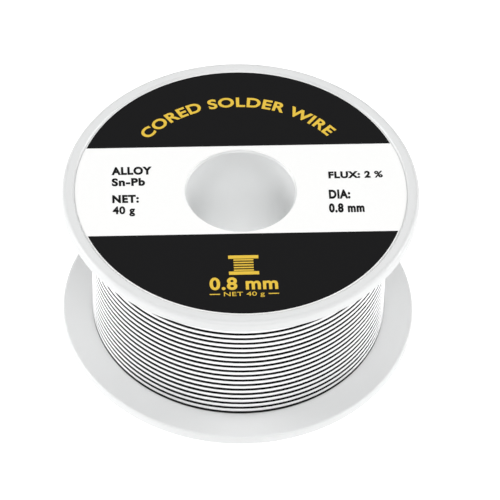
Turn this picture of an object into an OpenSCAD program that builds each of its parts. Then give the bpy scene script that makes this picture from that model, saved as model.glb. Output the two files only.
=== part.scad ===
// Solder wire spool: two equal pressed-on flanges, a ribbed hub, five layers of
// flux-cored wire and a printed paper label. Millimetres, +Z along the bore,
// origin on the bore axis in the plane that the spool stands on.

/* [Spool] */
// Diameter of both flanges
flange_d = 42; // [40:0.5:44]
// Height of the whole spool, over both flanges
spool_h = 21.6; // [20.8:0.8:24]
// Thickness of a flange at its rim
rim_t = 1.5; // [1.45:0.05:1.7]
// Thickness of a flange where it meets the barrel
root_t = 1.85; // [1.8:0.05:2.2]
// Radius that rounds the rim's outer edge, beside the label
rim_round = 0.55; // [0.4:0.05:0.7]
// Radius that rounds the rim's inner edge, beside the wire
lip_round = 0.25; // [0.2:0.05:0.5]
// Depth of the label seat in a flange's outer face
seat_depth = 0.2; // [0.15:0.05:0.3]

/* [Hub] */
// Diameter of the bore that goes on the holder's pin
bore_d = 12.8; // [12:0.2:13.2]
// Diameter of the barrel that the wire is wound on
barrel_d = 27.8; // [27:0.2:29]
// Thickness of the bore tube and of the barrel
hub_wall = 1.2; // [1:0.1:1.4]
// Number of radial ribs between bore tube and barrel
rib_count = 6; // [4:1:8]
// Thickness of a rib and of the middle web
rib_t = 1.0; // [0.8:0.1:1.2]

/* [Snap fit] */
// Length of the fingers that hold a flange in the hub
finger_l = 2.4; // [2:0.1:2.8]
// Gap between two fingers
finger_gap = 2.2; // [1.8:0.1:3]
// Play between pieces that slide together
play = 0.05; // [0.03:0.01:0.08]

/* [Wire] */
// Diameter of the solder wire
wire_d = 0.8; // [0.6:0.1:0.8]
// Diameter of the rosin flux core inside the wire
flux_d = 0.3; // [0.2:0.05:0.35]
// Angle that the free end covers on the outside of the winding
tail_angle = 28; // [20:1:40]

/* [Label] */
// Diameter of the paper label
label_d = 38.9; // [37:0.1:39]
// Thickness of the paper
paper_t = 0.1; // [0.08:0.01:0.12]
// Thickness drawn for the black printed fields
ink_t = 0.03; // [0.02:0.01:0.04]
// Diameter that the black fields are printed to
print_d = 38.7; // [36:0.1:38.8]
// Edge of the white band towards the reader
band_front = 6.9; // [6.9:0.1:8]
// Edge of the white band away from the reader
band_back = 7.2; // [6.9:0.1:8]

/* [Hidden] */
$fn = 96;

flange_r = flange_d / 2;
bore_r = bore_d / 2;
barrel_r = barrel_d / 2;
label_r = label_d / 2;
wire_r = wire_d / 2;

edge_bevel = 0.2;                             // bevel at each mouth of the bore
tube_r = bore_r + hub_wall;                   // outside of the bore tube
socket_r = barrel_r - hub_wall;               // inside of the barrel
bite = 0.4;                                   // how far a rib runs into the wall it joins
seat_r = label_r + 0.1;                       // floor of the label seat

finger_r = socket_r - play;                   // outside of the snap fingers
finger_t = 1.2;
bead_r = 0.25;                                // half-round bead that snaps into the barrel
bead_z = root_t + finger_l - 0.8;
bead_at = finger_r - 0.1;

eject_r = 1.2;                                // marks that the mould's ejector pins leave
eject_depth = 0.08;
eject_at = 16.6;
gate_r = 0.6;                                 // nub where the plastic entered the mould
gate_at = 10.2;

wind_w = spool_h - 2 * root_t;                // room between the flanges
turns = floor(wind_w / wire_d);               // side by side in one layer
pitch = wind_w / turns;
layer_count = 5;
layer_step = 0.875 * wire_d;                  // a layer lies in the grooves of the one below
first_r = barrel_r + wire_r + 0.01;           // wire centre in the first layer
top_r = first_r + (layer_count - 1) * layer_step;
wind_gap = 0.01;                              // keeps the winding just off the flanges

slot_w = 1.8;                                 // notch that lets the wire's start into the hub
slot_h = 1.3;
start_angle = 90;
start_in_r = 10.6;
tail_from = 95;
tail_z = root_t + (turns - 1) * pitch;        // in the groove before the last turn
tail_r = top_r + layer_step;

// A flat ring from radius a to radius b
module ring(a, b, h) {
    difference() {
        cylinder(r = b, h = h);
        translate([0, 0, -1]) cylinder(r = a, h = h + 2);
    }
}

// Half section of a flange, seat down: its inner face thickens towards the barrel
module flange_section() {
    core_r = flange_r - rim_round;
    lip_r = flange_r - lip_round;
    lip_z = rim_t - lip_round;
    union() {
        polygon([
            [tube_r + play, seat_depth], [seat_r, seat_depth], [seat_r + seat_depth, 0], [core_r, 0],
            [core_r, rim_round], [flange_r, rim_round], [flange_r, lip_z], [lip_r, lip_z],
            [lip_r, rim_t], [barrel_r, root_t], [tube_r + play, root_t]
        ]);
        translate([core_r, rim_round]) circle(r = rim_round);
        translate([lip_r, lip_z]) circle(r = lip_round);
    }
}

// Snap fingers that stand on the inner face and hold the flange in the barrel
module fingers() {
    difference() {
        union() {
            translate([0, 0, root_t - 0.2]) ring(finger_r - finger_t, finger_r, finger_l + 0.2);
            rotate_extrude() translate([bead_at, bead_z]) circle(r = bead_r);
        }
        for (i = [0 : rib_count - 1])
            rotate([0, 0, start_angle + i * 360 / rib_count])
                translate([finger_r - 2 * finger_t, -finger_gap / 2, root_t])
                    cube([3 * finger_t, finger_gap, finger_l + 1]);
    }
}

// Marks of the mould in the label seat: ejector pins and the gate
module mould_marks() {
    for (i = [0 : 5])
        rotate([0, 0, 30 + i * 60]) translate([eject_at, 0, seat_depth - 1])
            cylinder(r = eject_r, h = 1 + eject_depth);
    translate([gate_at, 0, seat_depth - 1])
        ring(gate_r, 2 * gate_r, 1 + 2 * eject_depth);
}

// Both flanges come from one mould
module flange() {
    difference() {
        union() {
            rotate_extrude() flange_section();
            fingers();
        }
        mould_marks();
    }
}

module bottom_flange() {
    color("whitesmoke") flange();
}

module top_flange() {
    color("whitesmoke") translate([0, 0, spool_h]) rotate([180, 0, 0]) flange();
}

// Bore tube, open from face to face, with a bevel at each mouth
module bore_tube() {
    low = seat_depth;
    high = spool_h - seat_depth;
    rotate_extrude() polygon([
        [bore_r, low + edge_bevel], [bore_r + edge_bevel, low], [tube_r, low],
        [tube_r, high], [bore_r + edge_bevel, high], [bore_r, high - edge_bevel]
    ]);
}

// Barrel with a groove for each flange's bead and the notch for the wire's start
module barrel() {
    difference() {
        translate([0, 0, root_t]) ring(socket_r, barrel_r, wind_w);
        for (z = [bead_z, spool_h - bead_z])
            rotate_extrude() translate([bead_at, z]) circle(r = bead_r + play);
        rotate([0, 0, start_angle])
            translate([socket_r - 1, -slot_w / 2, root_t - 1])
                cube([hub_wall + 2, slot_w, slot_h + 1]);
    }
}

module hub() {
    clear = root_t + finger_l + 0.3;
    color("whitesmoke") union() {
        bore_tube();
        barrel();
        translate([0, 0, (spool_h - rib_t) / 2]) ring(tube_r - bite, socket_r + bite, rib_t);
        for (i = [0 : rib_count - 1])
            rotate([0, 0, start_angle + (i + 0.5) * 360 / rib_count])
                translate([tube_r - bite, -rib_t / 2, clear])
                    cube([socket_r - tube_r + 2 * bite, rib_t, spool_h - 2 * clear]);
    }
}

// Paper label in the seat of the top flange
module label() {
    color("white") translate([0, 0, spool_h - seat_depth])
        ring(bore_r + edge_bevel, label_r, paper_t);
}

// Black fields printed on the label, before and behind the white band
module label_print() {
    color("#202020") translate([0, 0, spool_h - seat_depth + paper_t])
        difference() {
            cylinder(d = print_d, h = ink_t);
            translate([-print_d, -band_front, -1])
                cube([2 * print_d, band_front + band_back, ink_t + 2]);
        }
}

// One inner layer of the winding, as the plain sleeve that its turns fill
module inner_layer(n) {
    centre = first_r + (n - 1) * layer_step;
    inside = n == 1 ? centre - wire_r : centre - layer_step / 2;
    color("silver") translate([0, 0, root_t + wind_gap])
        ring(inside, centre + layer_step / 2, wind_w - 2 * wind_gap);
}

// The outermost layer, with a ridge for every turn
module outer_layer() {
    low = top_r - layer_step / 2;
    color("silver") rotate_extrude() union() {
        translate([low, root_t + wind_gap]) square([layer_step / 2 + wire_r / 3, wind_w - 2 * wind_gap]);
        intersection() {
            translate([low, 0]) square([wire_d + layer_step, spool_h]);
            union() for (i = [0 : turns - 1])
                translate([top_r, root_t + (i + 0.5) * pitch]) circle(r = wire_r);
        }
    }
}

// Inner end of the wire, led through the barrel's notch into the hub
module wire_start() {
    color("silver") rotate([0, 0, start_angle])
        translate([start_in_r, 0, root_t + pitch / 2 + play]) rotate([0, 90, 0])
            cylinder(r = wire_r, h = barrel_r - start_in_r);
}

// An arc of wire or of its core on the outside of the winding
module end_arc(section_r, bore = 0) {
    rotate([0, 0, tail_from]) rotate_extrude(angle = tail_angle)
        translate([tail_r, tail_z])
            difference() {
                circle(r = section_r);
                if (bore > 0) circle(r = bore);
            }
}

// Free end of the wire, which lies on the last turns
module wire_tail() {
    color("silver") end_arc(wire_r, flux_d / 2);
}

// Rosin in the middle of the wire, seen at its cut end
module flux_core() {
    color("goldenrod") end_arc(flux_d / 2);
}

bottom_flange();
hub();
top_flange();
label();
label_print();
inner_layer(1);  // wire_layer_1
inner_layer(2);  // wire_layer_2
inner_layer(3);  // wire_layer_3
inner_layer(4);  // wire_layer_4
outer_layer();  // wire_layer_5
wire_start();
wire_tail();
flux_core();
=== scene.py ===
import math

import bmesh
import bpy
from mathutils import Matrix, Vector


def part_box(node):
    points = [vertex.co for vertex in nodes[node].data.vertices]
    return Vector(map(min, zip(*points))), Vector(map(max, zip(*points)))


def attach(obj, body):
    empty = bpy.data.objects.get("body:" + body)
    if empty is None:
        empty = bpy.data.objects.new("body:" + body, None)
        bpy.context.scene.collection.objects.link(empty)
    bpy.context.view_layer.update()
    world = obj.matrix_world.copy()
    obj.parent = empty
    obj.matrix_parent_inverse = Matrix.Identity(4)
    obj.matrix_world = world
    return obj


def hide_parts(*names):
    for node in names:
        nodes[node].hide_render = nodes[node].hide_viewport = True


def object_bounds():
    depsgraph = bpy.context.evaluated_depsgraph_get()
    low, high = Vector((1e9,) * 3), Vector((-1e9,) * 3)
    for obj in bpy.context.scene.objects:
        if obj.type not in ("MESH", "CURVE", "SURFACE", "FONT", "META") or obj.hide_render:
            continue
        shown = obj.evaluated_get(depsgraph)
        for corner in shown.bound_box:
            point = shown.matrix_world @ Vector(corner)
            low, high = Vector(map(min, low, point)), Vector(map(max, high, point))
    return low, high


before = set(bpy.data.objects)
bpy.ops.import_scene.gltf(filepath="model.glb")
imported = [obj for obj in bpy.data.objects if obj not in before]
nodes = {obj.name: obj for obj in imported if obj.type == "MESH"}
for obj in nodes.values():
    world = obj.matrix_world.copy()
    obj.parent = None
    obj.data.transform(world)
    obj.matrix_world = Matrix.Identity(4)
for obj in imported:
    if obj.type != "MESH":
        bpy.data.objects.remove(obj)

cadLow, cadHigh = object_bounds()
mm = 0.001
print("frame loaded:", len(nodes), "nodes")

# The spool's own sizes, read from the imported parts
spoolHeight = cadHigh.z
barrelRadius = (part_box("hub")[1].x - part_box("hub")[0].x) / 2
woundRadius = (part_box("wire_layer_5")[1].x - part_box("wire_layer_5")[0].x) / 2
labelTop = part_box("label")[1].z
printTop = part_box("label_print")[1].z
windLow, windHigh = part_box("wire_layer_1")[0].z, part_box("wire_layer_1")[1].z


def linear(hexColour):
    # sRGB hex to the linear colour that shaders use
    parts = [int(hexColour[i:i + 2], 16) / 255 for i in (1, 3, 5)]
    return tuple(c / 12.92 if c <= 0.04045 else ((c + 0.055) / 1.055) ** 2.4 for c in parts) + (1.0,)


def shade(colour, factor):
    return tuple(min(1.0, c * factor) for c in colour[:3]) + (1.0,)


def addNode(tree, kind, inputs=None, **settings):
    node = tree.nodes.new(kind)
    for name, value in settings.items():
        setattr(node, name, value)
    for name, value in (inputs or {}).items():
        if isinstance(value, bpy.types.NodeSocket):
            tree.links.new(value, node.inputs[name])
        else:
            node.inputs[name].default_value = value
    return node


def newMaterial(name):
    material = bpy.data.materials.new(name)
    material.use_nodes = True
    material.node_tree.nodes.clear()
    return material, material.node_tree


def meshPiece(name, mesh, material):
    mesh.name = name
    mesh.materials.clear()
    mesh.materials.append(material)
    piece = bpy.data.objects.new(name, mesh)
    bpy.context.scene.collection.objects.link(piece)
    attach(piece, "root")
    return piece


def dressNode(nodeName, material):
    data = nodes[nodeName].data
    data.materials.clear()
    data.materials.append(material)


cameraPlan = {
    "azimuth": math.radians(-3.51),   # a little to the left of the label's reading side
    "elevation": math.radians(47.55),
    "roll": math.radians(1.55),
    "distance": 0.598,
    "lens": 362.2,                    # long lens on a 36 mm sensor
    "aimRight": 1.27 * mm,
    "aimUp": 0.23 * mm,
}


def makeCamera(plan):
    az, el, roll = plan["azimuth"], plan["elevation"], plan["roll"]
    back = Vector((math.sin(az) * math.cos(el), -math.cos(az) * math.cos(el), math.sin(el)))
    level = Vector((math.cos(az), math.sin(az), 0))
    upright = back.cross(level)
    right = level * math.cos(roll) + upright * math.sin(roll)
    up = upright * math.cos(roll) - level * math.sin(roll)
    aim = Vector((0, 0, spoolHeight / 2)) + right * plan["aimRight"] + up * plan["aimUp"]
    data = bpy.data.cameras.new("camera")
    data.lens, data.sensor_width = plan["lens"], 36
    data.clip_start, data.clip_end = 0.01, 10
    camera = bpy.data.objects.new("camera", data)
    turn = Matrix((right, up, back)).transposed().to_4x4()
    camera.matrix_world = Matrix.Translation(aim + back * plan["distance"]) @ turn
    bpy.context.scene.collection.objects.link(camera)
    bpy.context.scene.camera = camera


makeCamera(cameraPlan)
print("camera set")


noiseLow, noiseHigh = 0.3, 0.7   # nearly all of a noise texture's values lie between these

plasticPlan = {
    "colour": "#DCDDDD",
    "glossyRoughness": 0.34,
    "dullRoughness": 0.43,
    "grainSize": 0.35 * mm,     # the mould's fine spark-eroded texture, drawn coarse enough to show
    "grainDepth": 0.012 * mm,
    "flowSize": 9.0 * mm,       # faint clouds where the plastic cooled
    "flowDark": 0.985,
    "flowLight": 1.012,
    "paintedContactShade": "#101010",           # painted shade on the flanges' inner faces along the winding's edge
    "contactShadeFade": 0.12 * mm,       # short of the winding's own radius, where the painted shade starts to fade
    "contactShadeEnd": 0.02 * mm,        # and where it is gone
    "contactShadeStart": 0.1 * mm,       # clear of the barrel
    "contactShadeSlope": 0.3 * mm,       # how far a flange's sloping face falls away from the winding
}


def paintedContactShadeMask(tree, place, plan):
    # Where the painted shade lies: on both inner faces, from the barrel out to the edge of the winding
    parts = addNode(tree, "ShaderNodeSeparateXYZ", {0: place})
    level = addNode(tree, "ShaderNodeCombineXYZ", {"X": parts.outputs["X"], "Y": parts.outputs["Y"]})
    reach = addNode(tree, "ShaderNodeVectorMath", {0: level.outputs[0]}, operation="LENGTH")
    inside = addNode(tree, "ShaderNodeMapRange", {
        "Value": reach.outputs["Value"], "From Min": woundRadius - plan["contactShadeFade"],
        "From Max": woundRadius - plan["contactShadeEnd"], "To Min": 1.0, "To Max": 0.0},
        interpolation_type="SMOOTHSTEP")
    outside = addNode(tree, "ShaderNodeMath", {
        0: reach.outputs["Value"], 1: barrelRadius + plan["contactShadeStart"]}, operation="GREATER_THAN")
    middle, half = (windLow + windHigh) / 2, (windHigh - windLow) / 2
    between = addNode(tree, "ShaderNodeMath", {
        0: parts.outputs["Z"], 1: middle, 2: half + plan["contactShadeSlope"]}, operation="COMPARE")
    face = addNode(tree, "ShaderNodeMath", {0: outside.outputs[0], 1: between.outputs[0]},
                   operation="MULTIPLY")
    paintedContactShade = addNode(tree, "ShaderNodeMath", {0: face.outputs[0], 1: inside.outputs["Result"]},
                  operation="MULTIPLY")
    return paintedContactShade.outputs[0]


def mouldedPolystyrene(plan):
    # White polystyrene, injection moulded: bright body colour, a soft broad sheen, a hint of mould texture,
    # and painted shade where the winding meets the flanges
    material, tree = newMaterial("mouldedPolystyrene")
    place = addNode(tree, "ShaderNodeTexCoord").outputs["Object"]
    grain = addNode(tree, "ShaderNodeTexNoise", {
        "Vector": place, "Scale": 1 / plan["grainSize"], "Detail": 2.0, "Roughness": 0.5})
    flow = addNode(tree, "ShaderNodeTexNoise", {
        "Vector": place, "Scale": 1 / plan["flowSize"], "Detail": 3.0, "Roughness": 0.55})
    base = linear(plan["colour"])
    clouds = addNode(tree, "ShaderNodeMapRange", {
        "Value": flow.outputs["Fac"], "From Min": noiseLow, "From Max": noiseHigh})
    body = addNode(tree, "ShaderNodeMix", {
        "Factor": clouds.outputs["Result"],
        "A": shade(base, plan["flowDark"]), "B": shade(base, plan["flowLight"])}, data_type="RGBA")
    # near-black painted shade on the flanges beside the winding
    contactShaded = addNode(tree, "ShaderNodeMix", {
        "Factor": paintedContactShadeMask(tree, place, plan), "A": body.outputs["Result"], "B": linear(plan["paintedContactShade"])},
        data_type="RGBA")
    sheen = addNode(tree, "ShaderNodeMapRange", {
        "Value": flow.outputs["Fac"], "From Min": noiseLow, "From Max": noiseHigh,
        "To Min": plan["glossyRoughness"], "To Max": plan["dullRoughness"]})
    bump = addNode(tree, "ShaderNodeBump", {
        "Height": grain.outputs["Fac"], "Strength": 0.25, "Distance": plan["grainDepth"]})
    shader = addNode(tree, "ShaderNodeBsdfPrincipled", {
        "Base Color": contactShaded.outputs["Result"], "Roughness": sheen.outputs["Result"],
        "IOR": 1.55, "Normal": bump.outputs["Normal"]})
    addNode(tree, "ShaderNodeOutputMaterial", {"Surface": shader.outputs["BSDF"]})
    return material


solderPlan = {
    "colour": "#FAFAFB",
    "glossyRoughness": 0.32,
    "dullRoughness": 0.44,
    "streakLength": 14 * mm,   # marks that the drawing die leaves along the wire
    "streaksAround": 26,
    "streakDepth": 0.008 * mm,
    "streakShade": 0.95,       # tone of the duller streaks
    # painted shade in the grooves between turns: near black and matte
    "paintedGrooveShade": "#0A0A0A",
    "paintedGrooveShadeRoughness": 0.7,
    "paintedGrooveShadeFrom": 0.545,      # share of the wire's half width where the painted groove shade starts
    "paintedGrooveShadeTo": 0.59,
}


def drawnSolder(plan):
    # Tin-lead wire, drawn through a die: bright soft metal with fine lengthways marks, and painted shade
    # in the grooves where the turns meet
    material, tree = newMaterial("drawnSolder")
    along = addNode(tree, "ShaderNodeAttribute", attribute_name="along").outputs["Fac"]
    around = addNode(tree, "ShaderNodeAttribute", attribute_name="around").outputs["Fac"]
    groove = addNode(tree, "ShaderNodeAttribute", attribute_name="groove").outputs["Fac"]
    run = addNode(tree, "ShaderNodeMath", {0: along, 1: 1 / plan["streakLength"]}, operation="MULTIPLY")
    girth = addNode(tree, "ShaderNodeMath", {0: around, 1: plan["streaksAround"]}, operation="MULTIPLY")
    wirePlace = addNode(tree, "ShaderNodeCombineXYZ", {"X": run.outputs[0], "Y": girth.outputs[0]})
    streaks = addNode(tree, "ShaderNodeTexNoise", {
        "Vector": wirePlace.outputs[0], "Scale": 1.0, "Detail": 3.0, "Roughness": 0.6})
    tone = addNode(tree, "ShaderNodeMapRange", {
        "Value": streaks.outputs["Fac"], "From Min": noiseLow, "From Max": noiseHigh,
        "To Min": plan["streakShade"]})
    metal = addNode(tree, "ShaderNodeVectorMath", {
        0: linear(plan["colour"])[:3], "Scale": tone.outputs["Result"]}, operation="SCALE")
    # painted shade where the turns meet: near black, not metal, rougher
    dark = addNode(tree, "ShaderNodeMapRange", {
        "Value": groove, "From Min": plan["paintedGrooveShadeFrom"], "From Max": plan["paintedGrooveShadeTo"]},
        interpolation_type="SMOOTHSTEP")
    colour = addNode(tree, "ShaderNodeMix", {
        "Factor": dark.outputs["Result"], "A": metal.outputs[0], "B": linear(plan["paintedGrooveShade"])},
        data_type="RGBA")
    metalness = addNode(tree, "ShaderNodeMapRange", {
        "Value": dark.outputs["Result"], "To Min": 1.0, "To Max": 0.0})
    gloss = addNode(tree, "ShaderNodeMapRange", {
        "Value": streaks.outputs["Fac"], "From Min": noiseLow, "From Max": noiseHigh,
        "To Min": plan["glossyRoughness"], "To Max": plan["dullRoughness"]})
    roughness = addNode(tree, "ShaderNodeMix", {
        "Factor": dark.outputs["Result"], "A": gloss.outputs["Result"], "B": plan["paintedGrooveShadeRoughness"]},
        data_type="FLOAT")
    bump = addNode(tree, "ShaderNodeBump", {
        "Height": streaks.outputs["Fac"], "Strength": 0.3, "Distance": plan["streakDepth"]})
    shader = addNode(tree, "ShaderNodeBsdfPrincipled", {
        "Base Color": colour.outputs["Result"], "Metallic": metalness.outputs["Result"],
        "Roughness": roughness.outputs["Result"], "Specular IOR Level": 0.1,
        "Normal": bump.outputs["Normal"]})
    addNode(tree, "ShaderNodeOutputMaterial", {"Surface": shader.outputs["BSDF"]})
    return material


labelPlan = {
    "fibreSize": 0.6 * mm,
    "fibreDepth": 0.01 * mm,
    "roughnessSpread": 0.05,
    # each finish: colour, roughness, contrast of the fibres, specular level
    "coatedPaper": ("#F8F8F7", 0.5, 0.012, 0.5),
    "blackInk": ("#151516", 0.6, 0.1, 0.08),
    "goldInk": ("#E2BC38", 0.45, 0.08, 0.3),
}


def printedPaper(name, plan):
    # Coated label stock and the inks on it: even colour, faint paper fibres under a satin varnish
    hexColour, roughness, fleck, shine = plan[name]
    material, tree = newMaterial(name)
    place = addNode(tree, "ShaderNodeTexCoord").outputs["Object"]
    fibres = addNode(tree, "ShaderNodeTexNoise", {
        "Vector": place, "Scale": 1 / plan["fibreSize"], "Detail": 4.0, "Roughness": 0.6, "Distortion": 0.8})
    base = linear(hexColour)
    tone = addNode(tree, "ShaderNodeMix", {
        "Factor": fibres.outputs["Fac"], "A": shade(base, 1 - fleck), "B": shade(base, 1 + fleck)},
        data_type="RGBA")
    spread = plan["roughnessSpread"]
    gloss = addNode(tree, "ShaderNodeMapRange", {
        "Value": fibres.outputs["Fac"], "To Min": roughness - spread, "To Max": roughness + spread})
    bump = addNode(tree, "ShaderNodeBump", {
        "Height": fibres.outputs["Fac"], "Strength": 0.15, "Distance": plan["fibreDepth"]})
    shader = addNode(tree, "ShaderNodeBsdfPrincipled", {
        "Base Color": tone.outputs["Result"], "Roughness": gloss.outputs["Result"],
        "IOR": 1.5, "Specular IOR Level": shine, "Normal": bump.outputs["Normal"]})
    addNode(tree, "ShaderNodeOutputMaterial", {"Surface": shader.outputs["BSDF"]})
    return material


rosinPlan = {
    "dark": "#9A6420",
    "light": "#D9A04A",
    "cloudSize": 0.1 * mm,
}


def amberRosin(plan):
    # Rosin: a hard amber resin, glassy where it has broken
    material, tree = newMaterial("amberRosin")
    place = addNode(tree, "ShaderNodeTexCoord").outputs["Object"]
    cloud = addNode(tree, "ShaderNodeTexNoise", {
        "Vector": place, "Scale": 1 / plan["cloudSize"], "Detail": 2.0})
    tone = addNode(tree, "ShaderNodeMix", {
        "Factor": cloud.outputs["Fac"], "A": linear(plan["dark"]), "B": linear(plan["light"])},
        data_type="RGBA")
    shader = addNode(tree, "ShaderNodeBsdfPrincipled", {
        "Base Color": tone.outputs["Result"], "Roughness": 0.18, "IOR": 1.53})
    addNode(tree, "ShaderNodeOutputMaterial", {"Surface": shader.outputs["BSDF"]})
    return material


plastic = mouldedPolystyrene(plasticPlan)
solder = drawnSolder(solderPlan)
paper = printedPaper("coatedPaper", labelPlan)
blackInk = printedPaper("blackInk", labelPlan)
goldInk = printedPaper("goldInk", labelPlan)
rosin = amberRosin(rosinPlan)
for nodeName in ("bottom_flange", "hub", "top_flange"):
    dressNode(nodeName, plastic)
dressNode("label", paper)
dressNode("label_print", blackInk)
dressNode("flux_core", rosin)
print("materials made")


wirePlan = {
    "diameter": 0.8 * mm,
    "turns": 22,                # in a full layer; every second layer holds one fewer
    "layers": 5,
    "layerStep": 0.7 * mm,
    "play": 0.01 * mm,          # between the winding and the barrel or a flange
    "crossShare": 0.12,         # part of each turn where the wire crosses to its next place
    "crossRise": 0.1 * mm,      # each layer rides this much higher over the one below, where they cross
    "bend": 0.8 * mm,           # bend where the wire comes out of the barrel's notch
    "startRadius": 10.6 * mm,
    "tailShare": 0.0825,        # part of a turn that the free end covers
    "innerSteps": 48,           # points in each turn, and sides of the wire's section
    "innerSides": 8,
    "outerSteps": 96,
    "outerSides": 16,
    "leadPoints": 10,           # from the hub's inside through the bend
}
wireRadius = wirePlan["diameter"] / 2
lowEnd = windLow - wirePlan["play"]
wirePitch = (windHigh + wirePlan["play"] - lowEnd) / wirePlan["turns"]
firstRadius = barrelRadius + wireRadius + wirePlan["play"]
upLayers = (wirePlan["layers"] + 1) // 2
downLayers = wirePlan["layers"] // 2
fullTurns = upLayers * wirePlan["turns"] + downLayers * (wirePlan["turns"] - 1)


def turnNumber(tree, given, index):
    # Turn that a point is on, counted from the wire's start, and how far it has crossed to the next one
    roundingGuard = 0.0001   # so that a whole turn isn't rounded down
    past = addNode(tree, "ShaderNodeMath", {0: index, 1: given["Lead Points"]}, operation="SUBTRACT")
    share = addNode(tree, "ShaderNodeMath", {0: past.outputs[0], 1: given["Points per Turn"]},
                    operation="DIVIDE")
    turn = addNode(tree, "ShaderNodeMath", {0: share.outputs[0], 1: given["First Turn"]}, operation="ADD")
    guarded = addNode(tree, "ShaderNodeMath", {0: turn.outputs[0], 1: roundingGuard}, operation="ADD")
    count = addNode(tree, "ShaderNodeMath", {0: guarded.outputs[0]}, operation="FLOOR")
    part = addNode(tree, "ShaderNodeMath", {0: turn.outputs[0], 1: count.outputs[0]}, operation="SUBTRACT")
    crossFrom = addNode(tree, "ShaderNodeMath", {0: 1.0, 1: given["Cross Share"]}, operation="SUBTRACT")
    cross = addNode(tree, "ShaderNodeMapRange", {
        "Value": part.outputs[0], "From Min": crossFrom.outputs[0], "From Max": 1.0},
        interpolation_type="SMOOTHERSTEP")
    return turn.outputs[0], count.outputs[0], cross.outputs["Result"]


def turnPlace(tree, given, number):
    # Layer of a whole turn and its height in pitches; two layers, up and down, hold 2 * turns - 1 turns
    pairSize = addNode(tree, "ShaderNodeMath", {0: given["Turns"], 1: 2.0, 2: -1.0},
                       operation="MULTIPLY_ADD")
    pairs = addNode(tree, "ShaderNodeMath", {0: number, 1: pairSize.outputs[0]}, operation="DIVIDE")
    pair = addNode(tree, "ShaderNodeMath", {0: pairs.outputs[0]}, operation="FLOOR")
    used = addNode(tree, "ShaderNodeMath", {0: pair.outputs[0], 1: pairSize.outputs[0]},
                   operation="MULTIPLY")
    rest = addNode(tree, "ShaderNodeMath", {0: number, 1: used.outputs[0]}, operation="SUBTRACT")
    upLimit = addNode(tree, "ShaderNodeMath", {0: given["Turns"], 1: 0.5}, operation="SUBTRACT")
    down = addNode(tree, "ShaderNodeMath", {0: rest.outputs[0], 1: upLimit.outputs[0]},
                   operation="GREATER_THAN")
    layer = addNode(tree, "ShaderNodeMath", {0: pair.outputs[0], 1: 2.0, 2: down.outputs[0]},
                    operation="MULTIPLY_ADD")
    climb = addNode(tree, "ShaderNodeMath", {0: rest.outputs[0], 1: 0.5}, operation="ADD")
    sink = addNode(tree, "ShaderNodeMath", {0: pairSize.outputs[0], 1: rest.outputs[0]},
                   operation="SUBTRACT")
    height = addNode(tree, "ShaderNodeMix", {
        "Factor": down.outputs[0], "A": climb.outputs[0], "B": sink.outputs[0]}, data_type="FLOAT")
    return layer.outputs[0], height.outputs[0]


def windTurn(tree, given, turn, count, cross):
    # Where a point on a turn lies, and its height
    nextCount = addNode(tree, "ShaderNodeMath", {0: count, 1: 1.0}, operation="ADD")
    thisLayer, thisHeight = turnPlace(tree, given, count)
    nextLayer, nextHeight = turnPlace(tree, given, nextCount.outputs[0])
    layer = addNode(tree, "ShaderNodeMix", {"Factor": cross, "A": thisLayer, "B": nextLayer},
                    data_type="FLOAT")
    height = addNode(tree, "ShaderNodeMix", {"Factor": cross, "A": thisHeight, "B": nextHeight},
                     data_type="FLOAT")

    # radius, with the hump where a turn crosses those below it
    halfWave = addNode(tree, "ShaderNodeMath", {0: cross, 1: math.pi}, operation="MULTIPLY")
    wave = addNode(tree, "ShaderNodeMath", {0: halfWave.outputs[0]}, operation="SINE")
    humpStep = addNode(tree, "ShaderNodeMath", {0: wave.outputs[0], 1: given["Cross Rise"]},
                       operation="MULTIPLY")
    hump = addNode(tree, "ShaderNodeMath", {0: humpStep.outputs[0], 1: layer.outputs[0]},
                   operation="MULTIPLY")
    flat = addNode(tree, "ShaderNodeMath", {
        0: layer.outputs[0], 1: given["Layer Step"], 2: given["First Radius"]}, operation="MULTIPLY_ADD")
    radius = addNode(tree, "ShaderNodeMath", {0: flat.outputs[0], 1: hump.outputs[0]}, operation="ADD")
    z = addNode(tree, "ShaderNodeMath", {
        0: height.outputs[0], 1: given["Pitch"], 2: given["Low End"]}, operation="MULTIPLY_ADD")

    # the first turn starts where the bend from the notch meets it, a little past the +Y axis
    bendReach = addNode(tree, "ShaderNodeMath", {0: given["Bend"], 1: given["First Radius"]},
                        operation="ARCTAN2")
    startAngle = addNode(tree, "ShaderNodeMath", {0: bendReach.outputs[0], 1: math.pi / 2}, operation="ADD")
    angle = addNode(tree, "ShaderNodeMath", {0: turn, 1: 2 * math.pi, 2: startAngle.outputs[0]},
                    operation="MULTIPLY_ADD")
    cosine = addNode(tree, "ShaderNodeMath", {0: angle.outputs[0]}, operation="COSINE")
    sine = addNode(tree, "ShaderNodeMath", {0: angle.outputs[0]}, operation="SINE")
    x = addNode(tree, "ShaderNodeMath", {0: cosine.outputs[0], 1: radius.outputs[0]}, operation="MULTIPLY")
    y = addNode(tree, "ShaderNodeMath", {0: sine.outputs[0], 1: radius.outputs[0]}, operation="MULTIPLY")
    onTurn = addNode(tree, "ShaderNodeCombineXYZ", {"X": x.outputs[0], "Y": y.outputs[0], "Z": z.outputs[0]})
    return onTurn.outputs[0], z.outputs[0]


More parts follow.
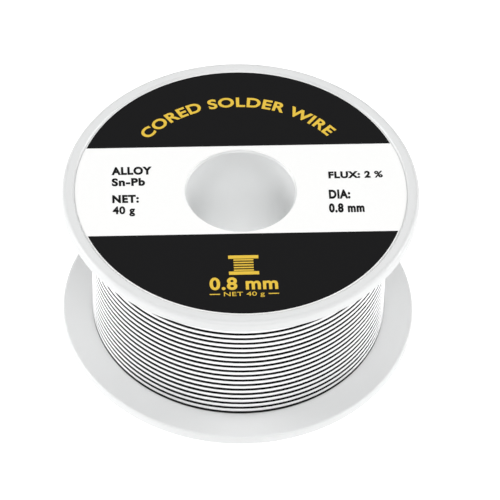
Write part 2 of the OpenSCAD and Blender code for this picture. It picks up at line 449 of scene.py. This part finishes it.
def leadIn(tree, given, index, z):
    # The wire's start: one point inside the hub, then a quarter bend on to the first turn
    bendTo = addNode(tree, "ShaderNodeMath", {0: given["Lead Points"], 1: 1.0}, operation="SUBTRACT")
    bendPart = addNode(tree, "ShaderNodeMapRange", {
        "Value": index, "From Min": 1.0, "From Max": bendTo.outputs[0], "To Max": math.pi / 2})
    bendSine = addNode(tree, "ShaderNodeMath", {0: bendPart.outputs["Result"]}, operation="SINE")
    bendCosine = addNode(tree, "ShaderNodeMath", {0: bendPart.outputs["Result"]}, operation="COSINE")
    sideStep = addNode(tree, "ShaderNodeMath", {0: bendCosine.outputs[0], 1: 1.0}, operation="SUBTRACT")
    leadX = addNode(tree, "ShaderNodeMath", {0: sideStep.outputs[0], 1: given["Bend"]}, operation="MULTIPLY")
    bendFrom = addNode(tree, "ShaderNodeMath", {0: given["First Radius"], 1: given["Bend"]},
                       operation="SUBTRACT")
    bendY = addNode(tree, "ShaderNodeMath", {
        0: bendSine.outputs[0], 1: given["Bend"], 2: bendFrom.outputs[0]}, operation="MULTIPLY_ADD")
    isFirst = addNode(tree, "ShaderNodeMath", {0: index, 1: 0.5}, operation="LESS_THAN")
    leadY = addNode(tree, "ShaderNodeMix", {
        "Factor": isFirst.outputs[0], "A": bendY.outputs[0], "B": given["Start Radius"]}, data_type="FLOAT")
    lead = addNode(tree, "ShaderNodeCombineXYZ", {"X": leadX.outputs[0], "Y": leadY.outputs[0], "Z": z})
    return lead.outputs[0]


def sweepWire(tree, given, points, kept):
    # The wire's round section along its points, which first keep what the surface needs to know
    for name, value in kept.items():
        points = addNode(tree, "GeometryNodeStoreNamedAttribute", {
            "Geometry": points, "Name": name, "Value": value},
            data_type="FLOAT", domain="POINT").outputs["Geometry"]
    path = addNode(tree, "GeometryNodeMeshToCurve", {"Mesh": points})
    travel = addNode(tree, "GeometryNodeSplineParameter").outputs["Length"]
    marked = addNode(tree, "GeometryNodeStoreNamedAttribute", {
        "Geometry": path.outputs["Curve"], "Name": "along", "Value": travel},
        data_type="FLOAT", domain="POINT")
    section = addNode(tree, "GeometryNodeCurvePrimitiveCircle", {
        "Resolution": given["Sides"], "Radius": given["Wire Radius"]})
    ring = addNode(tree, "GeometryNodeSplineParameter").outputs["Factor"]
    ringMarked = addNode(tree, "GeometryNodeStoreNamedAttribute", {
        "Geometry": section.outputs["Curve"], "Name": "around", "Value": ring},
        data_type="FLOAT", domain="POINT")
    tube = addNode(tree, "GeometryNodeCurveToMesh", {
        "Curve": marked.outputs["Geometry"], "Profile Curve": ringMarked.outputs["Geometry"],
        "Fill Caps": True})
    return tube.outputs["Mesh"]


def markGrooves(tree, given, wire):
    # Groove: 0 on the crown of a turn, 1 where it touches its neighbours, and 0 on the free end
    spot = addNode(tree, "GeometryNodeInputPosition").outputs[0]
    spotZ = addNode(tree, "ShaderNodeSeparateXYZ", {0: spot}).outputs["Z"]
    midHeight = addNode(tree, "GeometryNodeInputNamedAttribute", {"Name": "midHeight"}, data_type="FLOAT")
    isWound = addNode(tree, "GeometryNodeInputNamedAttribute", {"Name": "wound"}, data_type="FLOAT")
    off = addNode(tree, "ShaderNodeMath", {0: spotZ, 1: midHeight.outputs["Attribute"]},
                  operation="SUBTRACT")
    flank = addNode(tree, "ShaderNodeMath", {0: off.outputs[0], 1: given["Wire Radius"]}, operation="DIVIDE")
    depth = addNode(tree, "ShaderNodeMath", {0: flank.outputs[0]}, operation="ABSOLUTE")
    groove = addNode(tree, "ShaderNodeMath", {0: depth.outputs[0], 1: isWound.outputs["Attribute"]},
                     operation="MULTIPLY")
    grooved = addNode(tree, "GeometryNodeStoreNamedAttribute", {
        "Geometry": wire, "Name": "groove", "Value": groove.outputs[0]}, data_type="FLOAT", domain="POINT")
    clean = grooved.outputs["Geometry"]
    for name in ("midHeight", "wound"):
        removed = addNode(tree, "GeometryNodeRemoveAttribute", {"Geometry": clean, "Name": name})
        clean = removed.outputs["Geometry"]
    return clean


def wireTree(material):
    # Points numbered along the wire, each put on its turn, then given the wire's round section
    tree = bpy.data.node_groups.new("woundWire", "GeometryNodeTree")
    tree.interface.new_socket("Geometry", in_out="OUTPUT", socket_type="NodeSocketGeometry")
    sockets = {
        "NodeSocketFloat": (
            "Wire Radius", "Pitch", "Layer Step", "First Radius", "Low End", "Cross Share", "Cross Rise",
            "Bend", "Start Radius"),
        "NodeSocketInt": (
            "Turns", "Points", "Points per Turn", "First Turn", "Lead Points", "Sides", "Full Turns"),
    }
    for kind, names in sockets.items():
        for name in names:
            tree.interface.new_socket(name, in_out="INPUT", socket_type=kind)
    given = addNode(tree, "NodeGroupInput").outputs
    line = addNode(tree, "GeometryNodeMeshLine", {"Count": given["Points"]}, mode="OFFSET")
    index = addNode(tree, "GeometryNodeInputIndex").outputs[0]

    turn, count, cross = turnNumber(tree, given, index)
    onTurn, z = windTurn(tree, given, turn, count, cross)
    lead = leadIn(tree, given, index, z)
    isLead = addNode(tree, "ShaderNodeMath", {0: index, 1: given["Lead Points"]}, operation="LESS_THAN")
    where = addNode(tree, "ShaderNodeMix", {"Factor": isLead.outputs[0], "A": onTurn, "B": lead},
                    data_type="VECTOR")
    placed = addNode(tree, "GeometryNodeSetPosition", {
        "Geometry": line.outputs["Mesh"], "Position": where.outputs["Result"]})

    wound = addNode(tree, "ShaderNodeMath", {0: turn, 1: given["Full Turns"]}, operation="LESS_THAN")
    wire = sweepWire(tree, given, placed.outputs["Geometry"], {"midHeight": z, "wound": wound.outputs[0]})
    wire = markGrooves(tree, given, wire)
    smooth = addNode(tree, "GeometryNodeSetShadeSmooth", {"Geometry": wire})
    real = addNode(tree, "GeometryNodeRealizeInstances", {"Geometry": smooth.outputs["Geometry"]})
    painted = addNode(tree, "GeometryNodeSetMaterial", {
        "Geometry": real.outputs["Geometry"], "Material": material})
    addNode(tree, "NodeGroupOutput", {"Geometry": painted.outputs["Geometry"]})
    return tree


woundWire = wireTree(solder)


def layWire(name, firstTurn, lastTurn, steps, sides, leadPoints):
    points = leadPoints + round((lastTurn - firstTurn) * steps) + 1
    values = {
        "Wire Radius": wireRadius, "Pitch": wirePitch, "Layer Step": wirePlan["layerStep"],
        "First Radius": firstRadius, "Low End": lowEnd, "Cross Share": wirePlan["crossShare"],
        "Cross Rise": wirePlan["crossRise"], "Bend": wirePlan["bend"],
        "Start Radius": wirePlan["startRadius"], "Turns": wirePlan["turns"], "Points": points,
        "Points per Turn": steps, "First Turn": firstTurn, "Lead Points": leadPoints, "Sides": sides,
        "Full Turns": fullTurns,
    }
    holder = bpy.data.objects.new("holder", bpy.data.meshes.new("holder"))
    bpy.context.scene.collection.objects.link(holder)
    modifier = holder.modifiers.new("wire", "NODES")
    modifier.node_group = woundWire
    for item in woundWire.interface.items_tree:
        if item.item_type == "SOCKET" and item.in_out == "INPUT":
            modifier[item.identifier] = values[item.name]
    shown = holder.evaluated_get(bpy.context.evaluated_depsgraph_get())
    mesh = bpy.data.meshes.new_from_object(shown)
    bpy.data.objects.remove(holder)
    return meshPiece(name, mesh, solder)


outerFrom = fullTurns - wirePlan["turns"]
wireEnd = fullTurns + wirePlan["tailShare"]
innerWire = layWire("wire_inner_layers", 0, outerFrom, wirePlan["innerSteps"], wirePlan["innerSides"],
                    wirePlan["leadPoints"])
outerWire = layWire("wire_outer_layer", outerFrom, wireEnd, wirePlan["outerSteps"],
                    wirePlan["outerSides"], 0)
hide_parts("wire_layer_1", "wire_layer_2", "wire_layer_3", "wire_layer_4", "wire_start")
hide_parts("wire_layer_5", "wire_tail")
print("wire wound:", len(innerWire.data.polygons) + len(outerWire.data.polygons), "faces")


titlePlan = {
    "text": "CORED SOLDER WIRE",
    "height": 1.42 * mm,
    "base": 13.65 * mm,             # radius of the arc that the title stands on
    "span": math.radians(102),
    "weight": 0.03,
}
inkThickness = 0.02 * mm

# each line: text, left end, baseline, capital height and width in millimetres, extra weight of the strokes
goldLines = (
    ("0.8 mm", -4.2, -15.6, 1.75, 7.9, 0.03),
    ("NET 40 g", -2.6, -16.65, 0.62, 4.7, 0.0),
)
dataLines = (
    ("ALLOY", -15.1, 2.9, 1.1, 4.75, 0.05),
    ("Sn-Pb", -15.1, 1.1, 1.1, 3.9, 0.045),
    ("NET:", -15.1, -1.6, 1.1, 3.1, 0.05),
    ("40 g", -15.1, -3.4, 1.1, 2.6, 0.036),
    ("FLUX: 2", 10.4, 1.75, 0.95, 4.95, 0.05),
    ("%", 15.8, 1.75, 0.95, 1.0, 0.03),
    ("DIA:", 10.3, -1.5, 1.25, 2.5, 0.05),
    ("0.8 mm", 10.2, -3.7, 1.25, 4.15, 0.05),
)


def flatText(text, weight):
    # letters as closed shapes, one unit thick, in the font's own units
    curve = bpy.data.curves.new("letters", "FONT")
    curve.body = text
    curve.offset = weight
    curve.space_character = 1.03 + 2 * weight   # bolder letters stand further apart
    curve.extrude = 0.5
    curve.resolution_u = 6
    holder = bpy.data.objects.new("letters", curve)
    bpy.context.scene.collection.objects.link(holder)
    bpy.context.view_layer.update()
    mesh = bpy.data.meshes.new_from_object(holder.evaluated_get(bpy.context.evaluated_depsgraph_get()))
    bpy.data.objects.remove(holder)
    bpy.data.curves.remove(curve)
    return mesh


capital = flatText("H", 0.0)
capitalHeight = max(v.co.y for v in capital.vertices)
bpy.data.meshes.remove(capital)


def textEnds(mesh):
    across = [v.co.x for v in mesh.vertices]
    return min(across), max(across)


def placeText(line, bottom):
    # straight line of text, stretched to the width asked for
    text, left, base, height, width, weight = line
    mesh = flatText(text, weight)
    low, high = textEnds(mesh)
    for v in mesh.vertices:
        v.co = Vector((
            (left + (v.co.x - low) / (high - low) * width) * mm,
            (base + v.co.y / capitalHeight * height) * mm,
            bottom + (v.co.z + 0.5) * inkThickness))
    return mesh


def bendText(plan, bottom):
    # text along an arc around the spool's axis, reading clockwise
    mesh = flatText(plan["text"], plan["weight"])
    low, high = textEnds(mesh)
    for v in mesh.vertices:
        angle = ((v.co.x - low) / (high - low) - 0.5) * plan["span"]
        radius = plan["base"] + v.co.y / capitalHeight * plan["height"]
        v.co = Vector((
            math.sin(angle) * radius,
            math.cos(angle) * radius,
            bottom + (v.co.z + 0.5) * inkThickness))
    return mesh


def barMesh(bars, bottom):
    # flat bars (middle x, middle y, width, height), each a closed slab
    build = bmesh.new()
    for x, y, width, height in bars:
        middle = (x, y, bottom + inkThickness / 2)
        place = Matrix.Translation(middle) @ Matrix.Diagonal((width, height, inkThickness, 1))
        bmesh.ops.create_cube(build, size=1.0, matrix=place)
    mesh = bpy.data.meshes.new("bars")
    build.to_mesh(mesh)
    build.free()
    return mesh


mergeDistance = 0.0001 * mm   # closes the seam between a letter's face and its sides


def joinMeshes(meshes):
    build = bmesh.new()
    for mesh in meshes:
        build.from_mesh(mesh)
        bpy.data.meshes.remove(mesh)
    bmesh.ops.remove_doubles(build, verts=build.verts, dist=mergeDistance)
    joined = bpy.data.meshes.new("joined")
    build.to_mesh(joined)
    build.free()
    return joined


iconPlan = {
    "middleX": -0.15 * mm,
    "middleY": -11.85 * mm,
    "width": 3.5 * mm,
    "height": 3.0 * mm,
    "bar": 0.5 * mm,
    "woundWidth": 2.3 * mm,
    "lines": 5,
}


def spoolIcon(plan):
    # a reel seen from the side: two flanges and the turns between them
    x, y = plan["middleX"], plan["middleY"]
    flangeOff = (plan["height"] - plan["bar"]) / 2
    gap = plan["height"] - 2 * plan["bar"]
    pitch = gap / plan["lines"]
    flanges = [(x, y + side * flangeOff, plan["width"], plan["bar"]) for side in (-1, 1)]
    heights = [y - gap / 2 + (i + 0.5) * pitch for i in range(plan["lines"])]
    turns = [(x, height, plan["woundWidth"], pitch / 2) for height in heights]
    return flanges + turns


rulePlan = {
    "middleX": -0.25 * mm,
    "middleY": -16.35 * mm,
    "reach": 3.4 * mm,          # from the middle of the small text to the middle of each rule
    "length": 1.2 * mm,
    "thickness": 0.13 * mm,
}


def sideRules(plan):
    # a short rule on each side of the small text
    places = [plan["middleX"] + side * plan["reach"] for side in (-1, 1)]
    return [(x, plan["middleY"], plan["length"], plan["thickness"]) for x in places]


goldMeshes = [bendText(titlePlan, printTop), barMesh(spoolIcon(iconPlan) + sideRules(rulePlan), printTop)]
goldMeshes += [placeText(line, printTop) for line in goldLines]
dataMeshes = [placeText(line, labelTop) for line in dataLines]
meshPiece("gold_print", joinMeshes(goldMeshes), goldInk)
meshPiece("data_print", joinMeshes(dataMeshes), blackInk)
print("label lettered")


floorPlan = {
    "half": 1.5,                # metres from the middle to each edge
    "colour": "#8C8C8C",
    "glow": 0.98,
    "lampGlow": 2.1,            # stronger light under the middle of the spool
    "lampCore": 4.5 * mm,       # radius where the stronger light starts to fade
    "lampEdge": 9 * mm,         # and where it is gone
}


def makeFloor(plan):
    # Opal light table: white everywhere, with its lamp under the spool's bore
    material, tree = newMaterial("opalTable")
    place = addNode(tree, "ShaderNodeTexCoord").outputs["Object"]
    reach = addNode(tree, "ShaderNodeVectorMath", {0: place}, operation="LENGTH")
    glow = addNode(tree, "ShaderNodeMapRange", {
        "Value": reach.outputs["Value"], "From Min": plan["lampCore"], "From Max": plan["lampEdge"],
        "To Min": plan["lampGlow"], "To Max": plan["glow"]}, interpolation_type="SMOOTHSTEP")
    shader = addNode(tree, "ShaderNodeBsdfPrincipled", {
        "Base Color": linear(plan["colour"]), "Roughness": 0.9, "Emission Color": (1, 1, 1, 1),
        "Emission Strength": glow.outputs["Result"]})
    addNode(tree, "ShaderNodeOutputMaterial", {"Surface": shader.outputs["BSDF"]})
    mesh = bpy.data.meshes.new("floor")
    half = plan["half"]
    corners = [(-half, -half, 0), (half, -half, 0), (half, half, 0), (-half, half, 0)]
    mesh.from_pydata(corners, [], [(0, 1, 2, 3)])
    mesh.materials.append(material)
    floor = bpy.data.objects.new("floor", mesh)
    bpy.context.scene.collection.objects.link(floor)


skyStrength = 0.2
lightPlan = {
    # azimuth, elevation, distance in metres, size in metres, watts
    "keySoftbox": (4, 44, 1.0, 0.7, 6.6),
    "leftFill": (-101, 21, 1.0, 0.5, 6.1),
    "rightFill": (101, 22, 1.0, 0.5, 4.8),
    "backFill": (180, 45, 1.0, 0.5, 1.45),
}


def makeLights(plan, sky):
    for name, (azimuth, elevation, distance, size, power) in plan.items():
        az, el = math.radians(azimuth), math.radians(elevation)
        away = Vector((math.sin(az) * math.cos(el), -math.cos(az) * math.cos(el), math.sin(el)))
        data = bpy.data.lights.new(name, "AREA")
        data.size, data.energy = size, power
        lamp = bpy.data.objects.new(name, data)
        lamp.location = away * distance + Vector((0, 0, spoolHeight / 2))
        lamp.rotation_euler = away.to_track_quat("Z", "Y").to_euler()
        bpy.context.scene.collection.objects.link(lamp)
    world = bpy.data.worlds.new("studio")
    world.use_nodes = True
    background = world.node_tree.nodes["Background"]
    background.inputs["Color"].default_value = (1, 1, 1, 1)
    background.inputs["Strength"].default_value = sky
    bpy.context.scene.world = world


makeFloor(floorPlan)
makeLights(lightPlan, skyStrength)
bpy.context.scene.view_settings.view_transform = "Standard"
print("floor and lights set")
